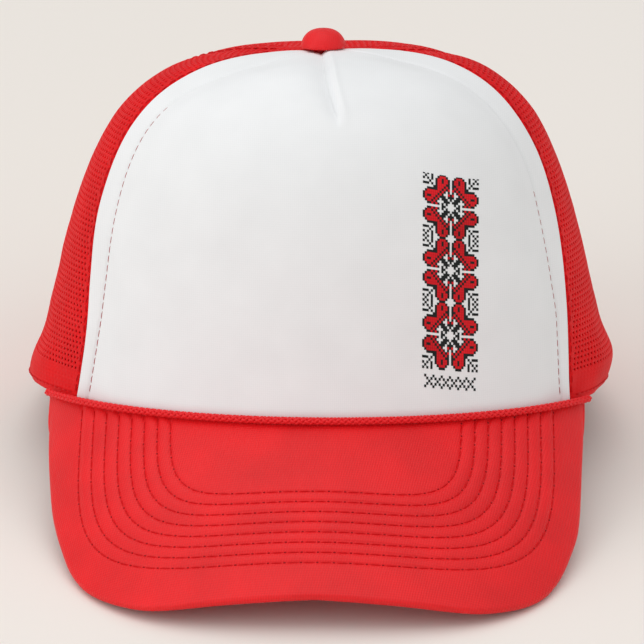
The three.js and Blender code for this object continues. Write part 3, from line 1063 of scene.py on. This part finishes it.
def peak_lines():
    """Lines over the peak, with each one's depth below the face and place in the rows."""
    t = np.linspace(-math.radians(26), math.radians(25), 400)
    root = np.stack([CROWN_HALF_WIDTH * np.sin(t), -RIM_RUN * (1 - np.cos(t))], 1)
    root = resample(root, PEAK_COLUMNS)
    first = stitch_row(-0.32)
    lines = [(root + (first - root) * share, -9.0) for share in np.linspace(0, 1, 12)[:-1]]
    beside = (-0.32, -0.18, -0.1, -0.05, 0, 0.05, 0.1, 0.18, 0.32, 0.5)
    for row in range(ROWS):
        for offset in beside[: 9 if row == ROWS - 1 else 10]:
            lines.append((stitch_row(row + offset), row + offset))
    last = stitch_row(ROWS - 0.68)
    turns = np.linspace(-PEAK_LEFT_END, PEAK_RIGHT_END, 1600)
    edge = resample(peak_edge(turns), PEAK_COLUMNS)
    shares = spread(lambda s: 1 + 14 * bell(s, 1, 0.07), 18)[1:]
    lines += [(to_rim(last + (edge - last) * share), 99.0) for share in shares]
    return lines, edge


def row_groove(k):
    """Depth of the sewn rows, and the slight swell of the cloth between them."""
    k = np.asarray(k, float)
    spacing = (OUTER_ROW["half"] - INNER_ROW["half"]) / (ROWS - 1)
    away = (k - np.clip(np.round(k), 0, ROWS - 1)) * spacing
    swell = np.where((k > 0) & (k < ROWS - 1), np.sin(math.pi * k) ** 2, 0)
    return ROW_GROOVE * bell(away, 0, ROW_GROOVE_HALF) - ROW_SWELL * swell


def peak_waves(x, out):
    return 0.1 * waves(x, out, 38, 11)


def peak():
    lines, edge = peak_lines()
    flat = np.stack([line for line, _ in lines])
    rows = np.array([k for _, k in lines])
    from_edge = np.linalg.norm(flat - edge, axis=2)
    x, out = flat[..., 0], flat[..., 1]
    groove = row_groove(rows)[:, None]
    swell = peak_waves(x, out)
    top = SEAM_GAP + groove + roll(from_edge, PEAK_ROUND) + swell
    bottom = SEAM_GAP + PEAK_THICK - 0.7 * groove - roll(from_edge, PEAK_ROUND) + swell
    faces = grid_faces(*x.shape)[:, ::-1]
    board = closed(
        peak_face(x, out, top, RIM_FRONT), peak_face(x, out, bottom, RIM_FRONT), faces
    )
    cloth = np.tile(flat.reshape(-1, 2), (2, 1))
    t = np.linspace(-PEAK_LEFT_END, PEAK_RIGHT_END, 161)
    root_x, root_out = CROWN_HALF_WIDTH * np.sin(t), -RIM_RUN * (1 - np.cos(t))
    depth = FOAM + SEAM_GAP + BAND_THICK

    def flange(deep):
        foot = inside(t, 0.0 * t, depth + 0 * t)
        foot[:, 2] -= deep
        return np.stack([foot, peak_face(root_x, root_out, deep + 0 * t, RIM_FRONT)])

    sewn = closed(flange(SEAM_GAP), flange(SEAM_GAP + PEAK_THICK), grid_faces(2, 161)[:, ::-1])
    sewn_cloth = np.stack([np.tile(root_x, 4), np.tile(root_out, 4)], 1)
    cloth = np.concatenate([cloth, sewn_cloth])
    body = joined([board, sewn])
    piece = mesh_object("stitched_peak", body, PEAK_CLOTH, cloth, sharp=70)
    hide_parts("peak")


def peak_stitches():
    threads, hole_shades = [], []
    for row in range(ROWS):
        line = stitch_row(row)[2:-2]
        x, out = line[:, 0], line[:, 1]
        normal = arch_normal(x)
        depth = SEAM_GAP + ROW_GROOVE + peak_waves(x, out)
        top = peak_face(x, out, depth, RIM_FRONT)
        under = peak_face(x, out, depth + PEAK_THICK - 1.7 * ROW_GROOVE, RIM_FRONT)
        threads.append(stitches(top, normal, **PEAK_STITCH))
        threads.append(stitches(under, -normal, **PEAK_STITCH))
        # Dark pieces in the gaps between stitches: painted shade of the needle holes, not holes in
        # the cloth
        hole_shades.append(stitches(top, normal, **PEAK_HOLE_SHADE))
    mesh_object("peak_stitches", joined(threads), PEAK_THREAD)
    mesh_object("peak_needle_hole_shade", joined(hole_shades), THREAD_AND_HOLE_SHADE)


# Rope: strands that wind both ways round a core and pass over and under each other
def rope_line():
    t = np.linspace(-PEAK_LEFT_END, PEAK_RIGHT_END, 600)
    wall = rim(t)
    away = crown_normal(t, 0 * t)
    away[:, 2] = 0
    away = unit(away)
    clear = ROPE_RADIUS + SEAM_GAP
    normal = arch_normal(wall[:, 0])
    fall = (normal * away).sum(1) / normal[:, 2]
    line = wall + away * clear
    line[:, 2] += clear * (np.sqrt(1 + fall * fall) - fall) - SEAM_GAP
    return line, away


def rope():
    line, away = rope_line()
    run = run_along(line)
    count = int(run[-1] / ROPE_STEP)
    at = np.linspace(0, run[-1], count)
    centre = points_at(line, run, at)
    out = unit(points_at(away, run, at))
    tangent = unit(np.gradient(centre, axis=0))
    side = unit(np.cross(tangent, out))
    winding = 2 * math.pi * at / ROPE_LEAD
    centres, ups = [], []
    per_way = ROPE_STRANDS // 2
    for strand in range(ROPE_STRANDS):
        way = 1 if strand < per_way else -1
        angle = way * winding + 2 * math.pi * strand / per_way
        radial = out * np.cos(angle)[:, None] + side * np.sin(angle)[:, None]
        reach = ROPE_RADIUS * (0.58 + way * 0.18 * np.cos(per_way * winding))
        centres.append(centre + radial * reach[:, None])
        ups.append(radial)
    widths = np.full(count, 0.25 * ROPE_RADIUS)
    widths[[0, -1]] *= 0.4
    strands = tubes(np.array(centres), np.array(ups), widths, sides=6, wide=1.4)
    core = tubes(centre[None], out[None], np.full(count, 0.5 * ROPE_RADIUS), sides=8)
    piece = mesh_object("braided_rope", joined([strands, core]), ROPE_CLOTH)
    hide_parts("rope")


# Button: a dome covered with cloth, square to the crown where the panels meet
def button():
    turns, rings = 72, 26
    top_normal = Vector((-RIGHT_LIFT, FRONT_LIFT, 1)).normalized()
    tilt = np.array(Vector((0, 0, 1)).rotation_difference(top_normal).to_matrix())
    angle = np.arange(turns) * 2 * math.pi / turns
    rows = [(0.62, 0.0, 0), (0.86, 0.0, 0), (0.94, 0.012, 1)]
    rows += [
        (math.cos(s * math.pi / 2) ** 0.8, math.sin(s * math.pi / 2), 1)
        for s in np.linspace(0.06, 0.985, rings)
    ]
    place, cloth = [], []
    for radius, height, free in rows:
        pleat = 1 + 0.012 * free * (1 - height) ** 2 * np.cos(9 * angle + 0.6 * np.sin(3 * angle))
        r = BUTTON_RADIUS * radius * pleat
        place.append(points(r * np.cos(angle), r * np.sin(angle), BUTTON_HEIGHT * height))
        reach = BUTTON_RADIUS * (1.6 - height)
        cloth.append(np.stack([reach * np.cos(angle), reach * np.sin(angle)], 1))
    count = len(rows)
    place = np.concatenate(place + [[[0, 0, 0]], [[0, 0, BUTTON_HEIGHT]]])
    cloth = np.concatenate(cloth + [[[0, 0]], [[0, 0]]])
    foot, top = count * turns, count * turns + 1
    last = (count - 1) * turns
    faces = ring_faces(count, turns).tolist()
    faces += [[foot, (n + 1) % turns, n] for n in range(turns)]
    faces += [[last + n, last + (n + 1) % turns, top] for n in range(turns)]
    seat = np.array([0, -BUTTON_AHEAD, CROWN_TOP]) + np.array(top_normal) * SEAM_GAP
    body = place @ tilt.T + seat, faces
    piece = mesh_object("covered_button", body, PEAK_CLOTH, cloth)
    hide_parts("button")


# Sweatband
def band_depth(t):
    past = np.where(t < 0, -t - seam("left", 0.0), t - seam("right", 0.0))
    share = smoothstep(past, BAND_EASE * 0.2, BAND_EASE * 1.2)
    return FOAM + (NET_SINK + NET_ROOM - FOAM) * share + SEAM_GAP


def sweatband():
    t = np.linspace(-BAND_END, BAND_END, 241)
    above = BAND_HEIGHT * spread(fine_ends(6, 0.03), 26)[:, None]
    turn, above = np.broadcast_arrays(t, above)
    edge = np.minimum(above, BAND_HEIGHT - above)
    round_edge = roll(edge, 0.48 * BAND_THICK)
    fold = 0.28 * bell(above, BAND_FOLD, 0.7)
    lean = BAND_LEAN * np.clip((above - BAND_HUG) / (BAND_HEIGHT - BAND_HUG), 0, 1) ** 1.3
    up = np.where(above == 0, 0, up_at(turn, rim(turn)[..., 2] + above))
    ripple = 0.12 * waves(turn * CROWN_HALF_WIDTH, above, 34, 8)
    depth = band_depth(turn) + lean + tuck(turn, above)
    outer = inside(turn, up, depth + round_edge)
    inner = inside(turn, up, depth + BAND_THICK - round_edge - fold + ripple * (edge > 1))
    cloth = np.stack([turn * CROWN_HALF_WIDTH, above], -1)
    body = closed(outer, inner, grid_faces(*up.shape))
    piece = mesh_object("folded_sweatband", body, BAND_CLOTH, cloth)
    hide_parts("sweatband")
    high = up_at(t, rim(t)[:, 2] + BAND_FOLD)
    line = inside(t, high, band_depth(t) + tuck(t, BAND_FOLD) + BAND_THICK - 0.3)
    body = stitches(line, -crown_normal(t, high), **NET_STITCH)
    mesh_object("sweatband_stitches", body, THREAD_AND_HOLE_SHADE)


# Binding of the arch
def binding_place(turn, width):
    x = (ARCH_HALF_WIDTH + width) * np.cos(turn)
    z = (ARCH_HEIGHT + width) * np.sin(turn)
    return on_crown(x, z, behind=True)


def binding_face(turn, width):
    return NET_SINK - BINDING_PROUD + 0.12 * waves(turn * ARCH_HEIGHT, width, 17, 4)


def arch_binding():
    turn = np.linspace(0, math.pi, 181)[None, :]
    width = BINDING_WIDTH * spread(fine_ends(6, 0.08), 26)[:, None]
    turn, width = np.broadcast_arrays(turn, width)
    t, up = binding_place(turn, width)
    up = np.where(np.sin(turn) < 1e-6, 0, up)
    edge = np.minimum(width, BINDING_WIDTH - width)
    round_edge = roll(edge, 0.46 * BINDING_THICK)
    sewn = 0.22 * bell(edge, BINDING_STITCH, 0.5)
    face = binding_face(turn, width)
    outer = inside(t, up, face + round_edge + sewn)
    inner = inside(t, up, face + BINDING_THICK - round_edge - sewn)
    cloth = np.stack([turn * ARCH_HEIGHT, width], -1)
    body = closed(outer, inner, grid_faces(*t.shape)[:, ::-1])
    piece = mesh_object("bound_arch", body, PEAK_CLOTH, cloth)
    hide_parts("arch_binding")
    bodies = []
    sweep = np.linspace(0.04, math.pi - 0.04, 300)
    for at in (BINDING_STITCH, BINDING_WIDTH - BINDING_STITCH):
        t, up = binding_place(sweep, np.full(300, at))
        line = inside(t, up, binding_face(sweep, at) + 0.16)
        bodies.append(stitches(line, crown_normal(t, up), **NET_STITCH))
    mesh_object("arch_stitches", joined(bodies), THREAD_AND_HOLE_SHADE)


# Closing strap: a band with its lap and a row of round studs
STRAP_DEPTH = NET_SINK - BINDING_PROUD + BINDING_THICK + SEAM_GAP


def strap_body(start, end, low, high, depth, thick, round_ends):
    rows, columns = 18, 96
    across = spread(fine_ends(5, 0.05), rows)
    along = spread(fine_ends(5, 0.02), columns)
    length = (end - start) * CROWN_BACK * 0.85
    half = (high - low) / 2
    from_end = np.minimum(along, 1 - along) * length
    narrow = half * (1 - round_ends * (1 - np.sqrt(1 - np.clip(1 - from_end / half, 0, 1) ** 2)))
    narrow = np.maximum(narrow, 0.6)
    height = (low + high) / 2 + (2 * across[:, None] - 1) * narrow[None, :]
    t = np.broadcast_to(start + (end - start) * along, height.shape)
    up = up_at(t, height)
    edge = np.minimum(np.minimum(across, 1 - across)[:, None] * 2 * narrow, from_end)
    fall = roll(edge, 0.42 * thick)
    outer = inside(t, up, depth + fall)
    inner = inside(t, up, depth + thick - fall)
    return closed(outer, inner, grid_faces(*t.shape))


def stud(t, height):
    up = float(up_at(t, height))
    out = crown_normal(np.array(t), np.array(up))
    seat = inside(np.array(t), np.array(up), np.array(STRAP_DEPTH + 0.1))
    side = unit(np.cross([0.0, 0.0, 1.0], out))
    rise = np.cross(out, side)
    angle = np.arange(STUD_SIDES) * 2 * math.pi / STUD_SIDES
    profile = [(1, 0), (1, 0.55), (0.95, 0.8), (0.82, 0.95), (0.6, 1), (0.5, 0.86), (0.3, 0.82)]
    rings = [
        seat
        + STUD_RADIUS * r * (np.cos(angle)[:, None] * side + np.sin(angle)[:, None] * rise)
        + (STUD_PROUD + 0.1) * h * out
        for r, h in profile
    ]
    foot = np.arange(STUD_SIDES)
    top = foot + (len(profile) - 1) * STUD_SIDES
    faces = ring_faces(len(profile), STUD_SIDES).tolist() + [foot[::-1].tolist(), top.tolist()]
    return np.concatenate(rings), faces


def snap_strap():
    top = STRAP_RAISED + STRAP_HEIGHT
    lap_turn = math.asin(STRAP_LAP / 2 / CROWN_HALF_WIDTH)
    stud_turn = lap_turn * (1 - 2 * STUD_RADIUS / STRAP_LAP) * (1 - 1 / (2 * STUDS))
    bodies = [
        strap_body(
            STRAP_ENDS, 2 * math.pi - STRAP_ENDS, STRAP_RAISED, top, STRAP_DEPTH, STRAP_THICK, 0
        ),
        strap_body(
            math.pi - lap_turn, math.pi + lap_turn, STRAP_RAISED + LAP_INSET, top - LAP_INSET,
            STRAP_DEPTH + STRAP_THICK * 0.96, STRAP_THICK, 1,
        ),
    ]
    for t in np.linspace(math.pi - stud_turn, math.pi + stud_turn, STUDS):
        bodies.append(stud(t, STRAP_RAISED + STRAP_HEIGHT / 2))
    piece = mesh_object("closing_strap", joined(bodies), STRAP_PLASTIC, sharp=50)
    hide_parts("snap_strap")


# Floor, light and camera. Lights and floor are in metres in the model's frame.
FLOOR_HALF = 6.0
SKY_COLOUR = (0.99, 1, 1, 1)
SKY_STRENGTH = 0.5
LIGHT_AIM = (0, 0, 0.05)
LIGHTS = [
    {"name": "key", "place": (-2.4, -1.6, 1.2), "width": 2.8, "watts": 29},
    {"name": "top", "place": (-0.5, 0.1, 3.0), "width": 4.0, "watts": 40},
    {"name": "fill", "place": (2.2, -1.4, 2.2), "width": 3.0, "watts": 17},
]


def studio():
    mesh = bpy.data.meshes.new("floor")
    corners = [(x * FLOOR_HALF, y * FLOOR_HALF, 0) for x, y in ((-1, -1), (1, -1), (1, 1), (-1, 1))]
    mesh.from_pydata(corners, [], [(0, 1, 2, 3)])
    floor = show("floor", mesh)
    surface = Surface("floor", 0.9, specular=0.1)
    surface.colour(surface.noise(1.5), linear(238, 232, 225), linear(241, 235, 229))
    mesh.materials.append(surface.material)
    world = bpy.data.worlds.new("studio")
    world.use_nodes = True
    world.node_tree.nodes["Background"].inputs["Color"].default_value = SKY_COLOUR
    world.node_tree.nodes["Background"].inputs["Strength"].default_value = SKY_STRENGTH
    bpy.context.scene.world = world
    for setting in LIGHTS:
        lamp = bpy.data.lights.new(setting["name"], "AREA")
        lamp.shape = "DISK"
        lamp.size = setting["width"]
        lamp.energy = setting["watts"]
        light = show(setting["name"], lamp)
        light.location = setting["place"]
        light.rotation_mode = "QUATERNION"
        aim = Vector(LIGHT_AIM) - Vector(setting["place"])
        light.rotation_quaternion = aim.to_track_quat("-Z", "Y")
    bpy.context.scene.view_settings.view_transform = "Standard"
    bpy.context.scene.view_settings.look = "None"


CAMERA_ELEVATION = math.radians(23.6)
CAMERA_AZIMUTH = math.radians(1.0526)
CAMERA_DISTANCE = 1300
CAMERA_TARGET = (-0.118, -20, 45.77)
CAMERA_FOCUS = 4060.25
IMAGE_WIDTH = 644


def camera():
    data = bpy.data.cameras.new("view")
    data.sensor_width = 36
    data.lens = CAMERA_FOCUS / IMAGE_WIDTH * data.sensor_width
    data.clip_start, data.clip_end = 0.05, 20
    view = show("view", data)
    a, e = CAMERA_AZIMUTH, CAMERA_ELEVATION
    back = np.array([math.sin(a) * math.cos(e), -math.cos(a) * math.cos(e), math.sin(e)])
    view.location = metres(np.array(CAMERA_TARGET) + back * CAMERA_DISTANCE)
    view.rotation_mode = "QUATERNION"
    view.rotation_quaternion = Vector(-back).to_track_quat("-Z", "Y")
    bpy.context.scene.camera = view


camera()
studio()
front_panel()
topstitch("left", -1)
topstitch("right", 1)
ornament()
net_stitches(net_panels())
peak()
peak_stitches()
rope()
button()
sweatband()
arch_binding()
snap_strap()
